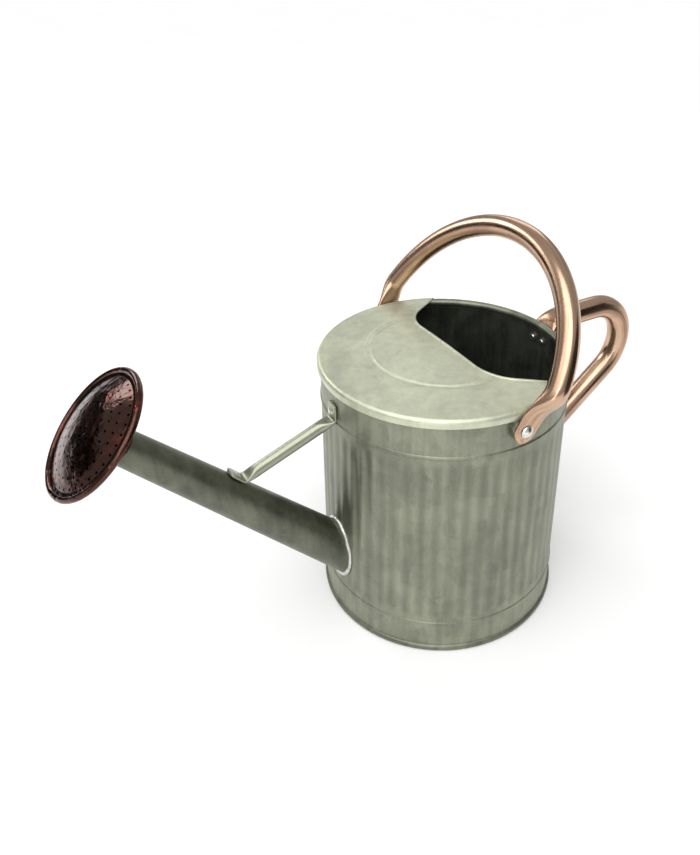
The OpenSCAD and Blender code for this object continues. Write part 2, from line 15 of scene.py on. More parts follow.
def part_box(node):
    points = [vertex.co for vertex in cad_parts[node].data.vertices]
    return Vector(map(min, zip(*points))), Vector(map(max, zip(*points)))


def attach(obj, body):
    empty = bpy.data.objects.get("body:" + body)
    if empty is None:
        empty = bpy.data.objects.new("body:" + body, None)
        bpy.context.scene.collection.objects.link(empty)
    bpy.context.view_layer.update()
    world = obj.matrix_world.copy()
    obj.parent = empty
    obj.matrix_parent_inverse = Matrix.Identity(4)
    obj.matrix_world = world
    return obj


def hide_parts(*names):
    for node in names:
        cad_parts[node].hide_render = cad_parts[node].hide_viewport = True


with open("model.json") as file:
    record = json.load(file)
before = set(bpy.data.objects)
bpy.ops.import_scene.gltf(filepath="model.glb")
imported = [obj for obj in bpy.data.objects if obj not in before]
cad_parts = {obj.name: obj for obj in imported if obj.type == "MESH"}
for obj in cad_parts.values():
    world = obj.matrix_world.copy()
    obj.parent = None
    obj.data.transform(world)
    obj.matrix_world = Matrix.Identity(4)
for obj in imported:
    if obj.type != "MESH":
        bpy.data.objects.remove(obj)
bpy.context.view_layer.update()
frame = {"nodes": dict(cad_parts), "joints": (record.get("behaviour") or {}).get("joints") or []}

bl_info = {
    "name": "Fluted watering can",
    "version": (1, 0, 0),
    "blender": (4, 5, 0),
    "location": "View3D > Sidebar > Watering can",
    "description": "Builds a fluted zinc watering can with copper handles, piece by piece",
    "category": "Object",
}

TURN = 2 * math.pi
FLUTES = 56
SMOOTH_ANGLE = math.radians(38)
SEAT_GAP = 0.0001
FLAT_LENGTH = 0.0125
CAN_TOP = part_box("body_shell")[1][2]
REAR_HANDLE_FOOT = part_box("rear_handle")[0][2]
BAIL_JOINT = next(j for j in frame["joints"] if j["name"] == "bail_swing")
PIVOT_HEIGHT = BAIL_JOINT["pos_m"][2]


# ---------------------------------------------------------------- sizes and colours


def length(name, description, millimetres):
    """A size that a user may change, given in millimetres and kept in metres."""
    return bpy.props.FloatProperty(
        name=name,
        description=description,
        default=millimetres / 1000,
        min=0.0,
        precision=4,
        unit="LENGTH",
    )


def angle(name, description, degrees):
    """An angle that a user may change, given in degrees."""
    return bpy.props.FloatProperty(
        name=name,
        description=description,
        default=math.radians(degrees),
        unit="ROTATION",
    )


def colour(name, description, rgb):
    """A colour that a user may change."""
    return bpy.props.FloatVectorProperty(
        name=name,
        description=description,
        default=rgb,
        size=3,
        min=0.0,
        max=1.0,
        subtype="COLOR",
    )


class CanSizes(bpy.types.PropertyGroup):
    """Sizes of the body, the hood and the spout."""

    foot_radius: length("Foot radius", "Outer radius of the wall at the ground", 100.5)
    top_radius: length("Top radius", "Outer radius of the wall at its top", 93)
    sheet: length("Sheet", "Thickness of the wall", 1.2)
    edge_roll: length("Edge roll", "Radius of the rolled top edge", 3)
    edge_out: length("Edge overhang", "How far the rolled edge stands out", 1.9)
    flute_low: length("Flute foot", "Height of the lower ends of the flutes", 33)
    flute_high: length("Flute top", "Height of the upper ends of the flutes", 186)
    flute_depth: length("Flute depth", "Depth of a flute", 0.62)
    swage: length("Swage", "Height of the pressed rings beside the flutes", 0.75)
    hood_rise: length("Hood rise", "Rise of the hood from its edge to its middle", 4)
    hood_sheet: length("Hood sheet", "Thickness of the hood", 0.6)
    mouth_edge: length("Mouth edge", "How far behind the middle the mouth starts", 1)
    mouth_half: length("Mouth half width", "Half length of the mouth's straight edge", 54)
    mouth_horn: length("Mouth horn", "How far back the corners of the hood reach", 42)
    groove_radius: length("Groove radius", "Radius of the ring pressed in the hood", 57)
    spout_height: length("Spout height", "Height of the spout's middle at the wall", 68)
    spout_rise: angle("Spout rise", "Rise of the spout above level", 47.8)
    spout_length: length("Spout length", "Length of the spout from the wall", 214)
    spout_root: length("Spout root", "Outer radius of the spout at the wall", 18)
    spout_tip: length("Spout tip", "Outer radius of the spout at its end", 11.6)


class HandleSizes(bpy.types.PropertyGroup):
    """Sizes of the bail, the rear handle and the brace."""

    bail_arch: length("Bail arch", "Radius of the bail's arch", 107)
    bail_up: length("Bail centre", "Height of the arch's middle above the pivot", 6)
    bail_lean: angle("Bail lean", "Lean of the bail at rest", 33)
    bail_tube: length("Bail tube", "Radius of the bail's tube", 8)
    bail_pad: length("Bail pad", "Radius of the bail's flat ends", 9.5)
    bail_pad_middle: length("Bail pad place", "How far out the middle of a flat end is", 97.9)
    rear_tube: length("Rear tube", "Radius of the rear handle's tube", 9.5)
    rear_bend: length("Rear bend", "Radius of the rear handle's bend", 36)
    rear_reach: length("Rear reach", "Distance of the bend's middle behind the middle", 150)
    rear_top: length("Rear top", "Height of the rear handle's upper run", 219)
    rear_slope: angle("Rear slope", "Slope of the rear handle's lower run", 39.7)
    brace_tube: length("Brace tube", "Radius of the brace", 4.6)
    brace_height: length("Brace height", "Height of the brace's upper rivet", 198)
    brace_along: length("Brace place", "How far up the spout the brace ends", 117)
    rose_radius: length("Rose radius", "Outer radius of the rose", 44)
    rose_depth: length("Rose depth", "Length of the rose's cone", 10)
    socket_length: length("Rose socket", "Length of the rose's socket", 8)


class CanFinishes(bpy.types.PropertyGroup):
    """Colours of the can's finishes."""

    zinc_light: colour("Zinc, light", "Light patches of the wall", (0.335, 0.35, 0.262))
    zinc_dark: colour("Zinc, dark", "Dark patches of the wall", (0.18, 0.19, 0.145))
    # The hood's colours are much lighter than the wall's: partly its own zinc and partly painted
    # light from the sky that the hood faces.
    hood_light: colour("Hood, light", "Light patches of the hood", (0.72, 0.755, 0.575))
    hood_dark: colour("Hood, dark", "Dark patches of the hood", (0.51, 0.53, 0.41))
    # The inside colour is painted shade: the deep inside of the can is coloured near black.
    inside: colour("Inside", "Oxidised inside of the can", (0.065, 0.072, 0.058))
    copper: colour("Copper", "Polished copper of the handles", (0.64, 0.43, 0.30))
    # Tarnish also colours the painted dark reflection stripes on the tubes.
    tarnish: colour("Tarnish", "Browned copper", (0.20, 0.105, 0.062))
    rose: colour("Rose", "Dark polished copper of the rose", (0.075, 0.030, 0.020))
    # The rose glint colour is a painted glint: redder patches standing in for red reflections.
    rose_glint: colour("Rose glint", "Redder patches of the rose", (0.30, 0.055, 0.045))
    steel: colour("Steel", "Plated rivets and washers", (0.80, 0.79, 0.74))


# ---------------------------------------------------------------- shader helpers


class Socket:
    """An output socket on which sums are written as Python expressions."""

    def __init__(self, finish, socket):
        self.finish = finish
        self.socket = socket

    def sum(self, operation, first, second):
        return self.finish.node(
            "ShaderNodeMath", {"operation": operation}, {0: first, 1: second}
        )

    def __add__(self, other):
        return self.sum("ADD", self, other)

    def __radd__(self, other):
        return self.sum("ADD", other, self)

    def __sub__(self, other):
        return self.sum("SUBTRACT", self, other)

    def __rsub__(self, other):
        return self.sum("SUBTRACT", other, self)

    def __mul__(self, other):
        return self.sum("MULTIPLY", self, other)

    def __rmul__(self, other):
        return self.sum("MULTIPLY", other, self)


class Finish:
    """A material under construction."""

    def __init__(self, name):
        self.material = bpy.data.materials.new(name)
        self.material.use_nodes = True
        self.tree = self.material.node_tree
        self.tree.nodes.clear()
        self.surface = self.tree.nodes.new("ShaderNodeBsdfPrincipled")
        end = self.tree.nodes.new("ShaderNodeOutputMaterial")
        self.tree.links.new(self.surface.outputs[0], end.inputs["Surface"])

    def put(self, socket, value):
        if isinstance(value, Socket):
            self.tree.links.new(value.socket, socket)
        elif hasattr(value, "__len__") and len(value) == 3 and socket.type == "RGBA":
            socket.default_value = (*value, 1.0)
        else:
            socket.default_value = value

    def node(self, kind, settings, sockets, output=0):
        """Adds a node, makes its settings first and then fills its sockets."""
        made = self.tree.nodes.new(kind)
        for key, value in settings.items():
            setattr(made, key, value)
        for key, value in sockets.items():
            self.put(made.inputs[key], value)
        return Socket(self, made.outputs[output])

    def place(self):
        return self.node("ShaderNodeTexCoord", {}, {}, "Object")

    def grain(self):
        return self.node("ShaderNodeAttribute", {"attribute_name": "grain"}, {}, "Vector")

    def turned(self, place, scale, rotation=(0, 0, 0)):
        return self.node(
            "ShaderNodeMapping", {}, {"Vector": place, "Scale": scale, "Rotation": rotation}
        )

    def noise(self, place, scale, detail=4.0, rough=0.55, warp=0.0):
        return self.node(
            "ShaderNodeTexNoise",
            {},
            {
                "Vector": place,
                "Scale": scale,
                "Detail": detail,
                "Roughness": rough,
                "Distortion": warp,
            },
        )

    def cells(self, place, scale):
        cell = self.node(
            "ShaderNodeTexVoronoi", {}, {"Vector": place, "Scale": scale}, "Color"
        )
        return self.node("ShaderNodeSeparateColor", {}, {"Color": cell}, "Red")

    def part(self, place, axis):
        return self.node("ShaderNodeSeparateXYZ", {}, {"Vector": place}, axis)

    def span(self, value, low, high, start=0.0, end=1.0):
        return self.node(
            "ShaderNodeMapRange",
            {"interpolation_type": "SMOOTHSTEP"},
            {
                "Value": value,
                "From Min": low,
                "From Max": high,
                "To Min": start,
                "To Max": end,
            },
        )

    def blend(self, share, first, second, way="MIX"):
        return self.node(
            "ShaderNodeMix",
            {"data_type": "RGBA", "blend_type": way},
            {0: share, 6: first, 7: second},
            2,
        )

    def bump(self, height, strength, distance, under=None):
        sockets = {"Height": height, "Strength": strength, "Distance": distance}
        if under is not None:
            sockets["Normal"] = under
        return self.node("ShaderNodeBump", {}, sockets)

    def flute_shade_mask(self, place):
        """One in the middle of each hollow and nought on the ridges and past the ends."""
        s = bpy.context.scene.can_sizes
        turn = self.node(
            "ShaderNodeMath",
            {"operation": "ARCTAN2"},
            {0: self.part(place, "Y"), 1: self.part(place, "X")},
        )
        wave = self.node("ShaderNodeMath", {"operation": "COSINE"}, {0: turn * float(FLUTES)})
        height = self.part(place, "Z")
        low = self.span(height, s.flute_low, s.flute_low + 0.008)
        high = self.span(height, s.flute_high - 0.008, s.flute_high, 1.0, 0.0)
        return (0.5 - wave * 0.5) * low * high

    def done(self, **sockets):
        for key, value in sockets.items():
            self.put(self.surface.inputs[key.replace("_", " ")], value)
        return self.material


def zinc(name, dark, light, rough, streak_turn=0.0, contrast=1.0, fluted=False):
    """Weathered zinc: spangles, blotches, streaks of wear and a faint ripple.
    On the fluted wall the hollows carry painted shade, a darker colour than the ridges."""
    f = Finish(name)
    place = f.place()
    spangle = f.cells(f.turned(place, (1, 1, 0.8)), 95.0)
    blotch = f.noise(place, 26.0, 5.0, 0.6, 0.6)
    streak = f.noise(f.turned(place, (1, 1, 0.10), (0, streak_turn, 0)), 150.0, 4.0, 0.6)
    fine = f.noise(place, 520.0, 3.0, 0.6)
    tone = blotch * 0.46 + spangle * 0.06 + streak * 0.34 + fine * 0.14
    spread = 0.17 / contrast
    tone = f.span(tone, 0.5 - spread, 0.5 + spread)
    base = f.blend(tone, dark, light)
    # Painted shade: the flute hollows are coloured darker than the ridges.
    if fluted:
        base = f.blend(f.flute_shade_mask(place) * 0.34, base, shade(dark, 0.60))
    stain = f.span(f.noise(place, 44.0, 6.0, 0.62, 0.9), 0.60, 0.74)
    base = f.blend(stain * 0.35, base, shade(dark, 0.55))
    skin = f.bump(fine * 0.5 + streak * 0.5, 0.16, 0.0006)
    skin = f.bump(blotch + spangle * 0.25, 0.28, 0.0016, skin)
    return f.done(
        Base_Color=base,
        Metallic=0.82,
        Roughness=f.span(blotch + fine * 0.4, 0.35, 1.0, rough - 0.07, rough + 0.12),
        Normal=skin,
    )


def copper(name, base, tarnish, rough):
    """Polished copper tube: draw lines along the tube, tarnish, painted reflection stripes of
    dark and light along the tube, and fine scratches.
    """
    f = Finish(name)
    grain = f.grain()
    lines = f.noise(f.turned(grain, (1, 1, 0.02)), 260.0, 5.0, 0.65)
    cloud = f.noise(f.turned(grain, (1, 1, 0.35)), 60.0, 5.0, 0.6, 0.5)
    spots = f.noise(f.place(), 700.0, 3.0, 0.6)
    # Painted reflection: the long stripes of the lines noise take the tarnish colour, standing
    # in for dark and light reflections along the tube; the cloud share is real tarnish.
    tarnish_and_painted_stripes = f.span(cloud * 0.35 + lines * 0.65, 0.42, 0.62)
    tone = f.blend(tarnish_and_painted_stripes * 0.62, base, tarnish)
    tone = f.blend(f.span(spots, 0.62, 0.72) * 0.35, tone, shade(tarnish, 0.6))
    return f.done(
        Base_Color=tone,
        Metallic=1.0,
        Roughness=f.span(lines + cloud, 0.7, 1.3, rough - 0.05, rough + 0.12),
        Normal=f.bump(lines * 0.7 + spots * 0.3, 0.10, 0.0004),
    )


def rose_copper(name, base, glint):
    """Dark polished copper, slightly uneven from spinning and hammering, with painted red
    glints.
    """
    f = Finish(name)
    place = f.place()
    dents = f.noise(place, 85.0, 3.0, 0.5, 0.5)
    cloud = f.noise(place, 42.0, 5.0, 0.62, 0.8)
    fine = f.noise(place, 800.0, 3.0, 0.6)
    # Painted glints: redder patches of the rose stand in for red reflections.
    tone = f.blend(f.span(cloud, 0.56, 0.74), base, glint)
    skin = f.bump(fine, 0.10, 0.0003)
    return f.done(
        Base_Color=tone,
        Metallic=1.0,
        Roughness=f.span(cloud + fine * 0.3, 0.4, 0.9, 0.10, 0.24),
        Normal=f.bump(dents, 0.55, 0.0022, skin),
        Coat_Weight=0.25,
        Coat_Roughness=0.06,
    )


def plated(name, base, rough):
    """Bright plated steel or solder with random dull patches."""
    f = Finish(name)
    place = f.place()
    cloud = f.noise(place, 380.0, 4.0, 0.6, 0.3)
    fine = f.noise(place, 1500.0, 3.0, 0.6)
    dull = f.span(cloud, 0.45, 0.68)
    return f.done(
        Base_Color=f.blend(dull * 0.45, base, shade(base, 0.45)),
        Metallic=0.95,
        Roughness=f.span(cloud + fine * 0.5, 0.5, 1.0, rough - 0.06, rough + 0.14),
        Normal=f.bump(cloud * 0.7 + fine * 0.3, 0.22, 0.0005),
    )


def pale_ground(name):
    """Pale, faintly uneven studio ground."""
    f = Finish(name)
    cloud = f.noise(f.place(), 3.0, 3.0, 0.5)
    return f.done(
        Base_Color=f.blend(cloud, (0.93, 0.93, 0.93), (0.96, 0.96, 0.96)),
        Roughness=0.85,
    )


def shade(rgb, share=1.0):
    """A colour made darker or lighter."""
    return tuple(share * c for c in rgb)


def finish_named(name):
    """Makes a finish the first time that a piece asks for it."""
    known = bpy.data.materials.get(name)
    if known:
        return known
    c = bpy.context.scene.can_finishes
    lean = math.pi / 2 - bpy.context.scene.can_sizes.spout_rise
    dark, light = c.zinc_dark, c.zinc_light
    zincs = {
        # The last True turns on the painted shade in the flute hollows.
        "zinc wall": (shade(dark), shade(light), 0.40, 0.0, 1.0, True),
        "zinc spout": (shade(dark, 0.50), shade(light, 0.56), 0.38, -lean),
        # Hood zinc: partly its own zinc and partly painted light from the sky that the hood
        # faces.
        "zinc hood": (shade(c.hood_dark), shade(c.hood_light), 0.44, 0.0, 0.8),
        "zinc brace": (shade(light), shade(c.hood_light, 0.46), 0.28, 1.2),
        "zinc foot": (shade(dark, 0.7), shade(light, 0.7), 0.40),
        # Painted shade for the deep inside of the can.
        "zinc inside": (shade(c.inside), shade(c.inside, 2.6), 0.52),
    }
    others = {
        "tube copper": (copper, shade(c.copper), shade(c.tarnish), 0.20),
        "rose copper": (rose_copper, shade(c.rose), shade(c.rose_glint)),
        "bright solder": (plated, shade(c.steel, 0.85), 0.30),
        "plated steel": (plated, shade(c.steel), 0.24),
        "pale ground": (pale_ground,),
    }
    if name in zincs:
        return zinc(name, *zincs[name])
    make, *values = others[name]
    return make(name, *values)


# ---------------------------------------------------------------- mesh helpers


def add_object(name, data):
    """Puts a new object in the scene."""
    made = bpy.data.objects.new(name, data)
    bpy.context.scene.collection.objects.link(made)
    return made


def mesh_of(bm, name):
    """Turns a bmesh into a mesh and frees it."""
    mesh = bpy.data.meshes.new(name)
    bm.to_mesh(mesh)
    bm.free()
    return mesh


def arc(middle, radius, start, end, steps):
    """Points of a circular arc in a profile, between two angles in degrees."""
    found = []
    for i in range(steps + 1):
        a = math.radians(start + (end - start) * i / steps)
        found.append((middle[0] + radius * math.cos(a), middle[1] + radius * math.sin(a)))
    return found


def ease(t):
    """Smooth step from 0 to 1."""
    t = min(1.0, max(0.0, t))
    return t * t * (3 - 2 * t)


def lathe(bm, profile, steps, closed=True):
    """Spins a profile of radius and height points about the Z axis."""
    points = [bm.verts.new((r, 0, z)) for r, z in profile]
    edges = [bm.edges.new(pair) for pair in zip(points, points[1:])]
    if closed:
        edges.append(bm.edges.new((points[-1], points[0])))
    bmesh.ops.spin(
        bm,
        geom=points + edges,
        cent=(0, 0, 0),
        axis=(0, 0, 1),
        angle=TURN,
        steps=steps,
        use_merge=True,
    )
    bmesh.ops.remove_doubles(bm, verts=bm.verts, dist=1e-6)
    bmesh.ops.recalc_face_normals(bm, faces=bm.faces)


def sweep(bm, stations, sides):
    """Joins rings along a path. A station holds its middle, its two directions
    across, its half sizes along them, its squareness and its place on the tube."""
    grain = bm.verts.layers.float_vector.get("grain")
    if grain is None:
        grain = bm.verts.layers.float_vector.new("grain")
    last = None
    for middle, side, out, half_side, half_out, square, along in stations:
        ring = bmesh.ops.create_circle(bm, segments=sides, radius=1)["verts"]
        size = max(half_side, half_out)
        for v in ring:
            c, s = v.co.x, v.co.y
            v[grain] = (c * size, s * size, along)
            u = math.copysign(abs(c) ** (2 / square), c)
            w = math.copysign(abs(s) ** (2 / square), s)
            v.co = middle + side * (u * half_side) + out * (w * half_out)
        edges = list({e for v in ring for e in v.link_edges})
        if last is not None:
            bmesh.ops.bridge_loops(bm, edges=last + edges)
        last = edges
    bmesh.ops.holes_fill(bm, edges=[e for e in bm.edges if e.is_boundary], sides=0)
    bmesh.ops.recalc_face_normals(bm, faces=bm.faces)


def stations_along(path, sizes, side):
    """Stations on a path of points in one plane. Each size holds the half size
    sideways, the half size across the path and the squareness."""
    found = []
    along = 0.0
    for i, (point, size) in enumerate(zip(path, sizes)):
        before, after = path[max(i - 1, 0)], path[min(i + 1, len(path) - 1)]
        if i:
            along += (point - path[i - 1]).length
        out = side.cross((after - before).normalized())
        found.append((point, side, out, *size, along))
    return found


def bezier(start, pull_start, pull_end, end, steps):
    """Points of a cubic curve, without its first."""
    found = []
    for i in range(1, steps + 1):
        t = i / steps
        u = 1 - t
        found.append(
            start * u**3 + pull_start * 3 * u * u * t + pull_end * 3 * u * t * t + end * t**3
        )
    return found


def straight(start, end, steps):
    """Points of a straight run, without its first."""
    return [start.lerp(end, i / steps) for i in range(1, steps + 1)]


def travel_along(path):
    """Distance of each point of a path from its first."""
    travel = [0.0]
    for a, b in zip(path, path[1:]):
        travel.append(travel[-1] + (b - a).length)
    return travel


def flat_ended(path, tube, half_wide, half_thick, ramp, nose_length, nose_share):
    """Sizes of a tube whose ends are pressed flat and rounded off at their tips."""
    travel = travel_along(path)
    sizes = []
    for d in travel:
        end = min(d, travel[-1] - d)
        flat = 1 - ease((end - FLAT_LENGTH) / ramp)
        wide = tube + (half_wide - tube) * flat
        thick = tube + (half_thick - tube) * flat
        nose = math.sqrt(max(0.0, 1 - (1 - min(1.0, end / nose_length)) ** 2))
        sizes.append((wide * (nose_share + (1 - nose_share) * nose), thick, 2 + 2.5 * flat))
    return sizes


def set_piece(bm, name, finishes, body, replaced=(), cutter=None):
    """Turns a bmesh into a finished piece that rides on a body."""
    piece = add_object(name, mesh_of(bm, name))
    for finish in finishes:
        piece.data.materials.append(finish_named(finish))
    if cutter is not None:
        cut_away(piece, cutter)
    piece.data.shade_smooth()
    piece.data.set_sharp_from_angle(angle=SMOOTH_ANGLE)
    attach(piece, body)
    if replaced:
        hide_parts(*replaced)


def cut_away(piece, cutter):
    """Cuts a closed bmesh out of a piece."""
    mesh = mesh_of(cutter, "tool")
    tool = add_object("tool", mesh)
    cut = piece.modifiers.new("cut", "BOOLEAN")
    cut.operation = "DIFFERENCE"
    cut.solver = "EXACT"
    cut.object = tool
    graph = bpy.context.evaluated_depsgraph_get()
    done = bpy.data.meshes.new_from_object(piece.evaluated_get(graph))
    piece.modifiers.clear()
    plain = piece.data
    piece.data = done
    done.name = piece.name
    bpy.data.meshes.remove(plain)
    bpy.data.objects.remove(tool)
    bpy.data.meshes.remove(mesh)


def wall_radius(sizes, height):
    """Outer radius of the wall at a height."""
    return sizes.foot_radius - (sizes.foot_radius - sizes.top_radius) * height / CAN_TOP


def edge_circle(sizes):
    """Radius and height of the circle in the middle of the rolled top edge."""
    z = CAN_TOP - sizes.edge_roll
    return wall_radius(sizes, z) + sizes.edge_out - sizes.edge_roll, z


def spout_frame(sizes):
    """Frame of the spout: its origin at the wall and its Z axis along the spout."""
    root = Vector((-wall_radius(sizes, sizes.spout_height), 0, sizes.spout_height))
    return Matrix.Translation(root) @ Matrix.Rotation(sizes.spout_rise - math.pi / 2, 4, "Y")


def spout_radius(sizes, along):
    """Outer radius of the spout at a distance from the wall."""
    return sizes.spout_root - (sizes.spout_root - sizes.spout_tip) * along / sizes.spout_length


# ---------------------------------------------------------------- body


class CAN_OT_wall(bpy.types.Operator):
    """Make the fluted wall with its rolled top edge"""

    bl_idname = "watering_can.wall"
    bl_label = "Wall"

    def execute(self, context):
        s = context.scene.can_sizes
        roll_r, roll_z = edge_circle(s)
        foot_z, sheet_top = 0.0016, CAN_TOP - 0.0065
        ring_middles = (s.flute_low - 0.003, s.flute_high + 0.003)
        ring_step, ring_half = 0.0004, 0.0016
        heights = [foot_z, 0.006, 0.012, 0.020, 0.0265]
        fade = [0.0, 0.0008, 0.002, 0.0036, 0.0056, 0.0082, 0.012]
        heights += [s.flute_low + d for d in fade]
        runs = 12
        low, high = s.flute_low + fade[-1], s.flute_high - fade[-1]
        heights += [low + (high - low) * i / runs for i in range(1, runs)]
        heights += [s.flute_high - d for d in reversed(fade)]
        heights += [0.194, 0.199, 0.204, 0.209, 0.2125]
        for middle in ring_middles:
            heights += [middle + ring_step * k for k in range(-4, 5)]
        outer = []
        for z in sorted(heights):
            push = 0.0
            for middle in ring_middles:
                push += s.swage * max(0.0, 1 - ((z - middle) / ring_half) ** 2)
            outer.append((wall_radius(s, z) + push, z))
        roll = arc((roll_r, roll_z), s.edge_roll, -62, 262, 36)
        inner_heights = (0.212, 0.16, 0.11, 0.06, 0.012, foot_z)
        inner = [(wall_radius(s, z) - s.sheet, z) for z in inner_heights]
        bm = bmesh.new()
        lathe(bm, outer + roll + inner, FLUTES * 8)
        run_out = 0.011
        for v in bm.verts:
            r = math.hypot(v.co.x, v.co.y)
            z = v.co.z
            if r < wall_radius(s, z) - s.sheet / 2 or z > sheet_top:
                continue
            share = ease((z - s.flute_low) / run_out) * ease((s.flute_high - z) / run_out)
            if share > 0:
                turn = math.atan2(v.co.y, v.co.x) * FLUTES
                push = s.flute_depth * share * 0.5 * (1 - math.cos(turn))
                v.co.x *= 1 - push / r
                v.co.y *= 1 - push / r
        # Faces inside the wall below the top band get painted shade; the top band inside keeps
        # the wall's zinc.
        inside_top = CAN_TOP - 0.015
        for face in bm.faces:
            middle = face.calc_center_median()
            inside = math.hypot(middle.x, middle.y) < wall_radius(s, middle.z) - s.sheet / 2
            face.material_index = 1 if inside and middle.z < inside_top else 0
        tool = bmesh.new()
        bore = s.spout_root - 0.0008
        bmesh.ops.create_cone(
            tool, cap_ends=True, segments=64, radius1=bore, radius2=bore, depth=0.05
        )
        bmesh.ops.transform(tool, matrix=spout_frame(s), verts=tool.verts)
        finishes = ["zinc wall", "zinc inside"]
        set_piece(bm, "fluted_wall", finishes, "can", ("body_shell",), tool)
        return {"FINISHED"}


class CAN_OT_hood(bpy.types.Operator):
    """Make the half cover over the mouth"""

    bl_idname = "watering_can.hood"
    bl_label = "Hood"

    def execute(self, context):
        s = context.scene.can_sizes
        roll_r, roll_z = edge_circle(s)
        out_r = s.edge_roll + SEAT_GAP / 2 + s.hood_sheet
        lip = roll_z + out_r

        def height(r):
            return lip + s.hood_rise * (1 - (r / roll_r) ** 2)

        radii = [roll_r * i / 14 for i in range(15)]
        radii += [s.groove_radius + 0.0007 * k for k in range(-6, 7)]
        radii = sorted(set(round(r, 6) for r in radii))
        top = [(r, height(r)) for r in radii]
        turn = arc((roll_r, roll_z), out_r, 84, 0, 10)
        rim_r, rim_z = roll_r + out_r, roll_z - 0.0030
        hang = [(rim_r, roll_z - 0.0016), (rim_r - 0.0001, rim_z)]
        back = [(rim_r - s.hood_sheet, rim_z), (rim_r - s.hood_sheet, roll_z - 0.0010)]
        back += arc((roll_r, roll_z), out_r - s.hood_sheet, 0, 84, 8)
        under = [(r, height(r) - s.hood_sheet) for r in reversed(radii[:-1])]
        bm = bmesh.new()
        lathe(bm, top + turn + hang + back + under, 320, closed=False)
        groove_width, groove_depth = 0.0019, 0.0011
        for v in bm.verts:
            off = (math.hypot(v.co.x, v.co.y) - s.groove_radius) / groove_width
            fade = ease((s.mouth_edge + 0.004 - v.co.x) / 0.016)
            v.co.z -= groove_depth * math.exp(-off * off) * fade

        horn = math.sqrt(roll_r**2 - s.mouth_horn**2)
        corner = Vector((s.mouth_edge, s.mouth_half, 0))
        slant = (Vector((s.mouth_horn, horn, 0)) - corner).normalized()
        soft = 0.019
        turn_in, turn_out = corner - Vector((0, soft, 0)), corner + slant * soft
        pull_in, pull_out = turn_in.lerp(corner, 0.6), turn_out.lerp(corner, 0.6)
        half = [turn_in] + bezier(turn_in, pull_in, pull_out, turn_out, 14)
        far = corner + slant * 0.12
        outline = [Vector((p.x, -p.y, 0)) for p in reversed(half)] + half
        tool = bmesh.new()
        ring = [Vector((far.x, -far.y, 0))] + outline + [far]
        base = [tool.verts.new((p.x, p.y, roll_z - 0.02)) for p in ring]
        face = tool.faces.new(base)
        lifted = bmesh.ops.extrude_face_region(tool, geom=[face])["geom"]
        lifted = [g for g in lifted if isinstance(g, bmesh.types.BMVert)]
        bmesh.ops.translate(tool, vec=(0, 0, 0.05), verts=lifted)
        bmesh.ops.recalc_face_normals(tool, faces=tool.faces)
        set_piece(bm, "mouth_hood", ["zinc hood"], "can", ("hood",), tool)

        hem_end = corner + slant * ((horn - corner.y) / slant.y - 0.004)
        line = [Vector((hem_end.x, -hem_end.y, 0))] + outline + [hem_end]
        path = []
        for first, second in zip(line, line[1:]):
            steps = max(1, int((second - first).length / 0.004))
            path += [first.lerp(second, i / steps) for i in range(steps)]
        path.append(line[-1])
        half_wide, half_high = 0.0013, 0.0010
        up = Vector((0, 0, 1))
        stations = []
        for i, p in enumerate(path):
            ahead = (path[min(i + 1, len(path) - 1)] - path[max(i - 1, 0)]).normalized()
            z = height(math.hypot(p.x, p.y)) - s.hood_sheet / 2
            middle = Vector((p.x, p.y, z))
            stations.append((middle, up.cross(ahead), up, half_wide, half_high, 2.2, 0.0))
        hem = bmesh.new()
        sweep(hem, stations, 12)
        set_piece(hem, "hood_hem", ["zinc hood"], "can")
        return {"FINISHED"}


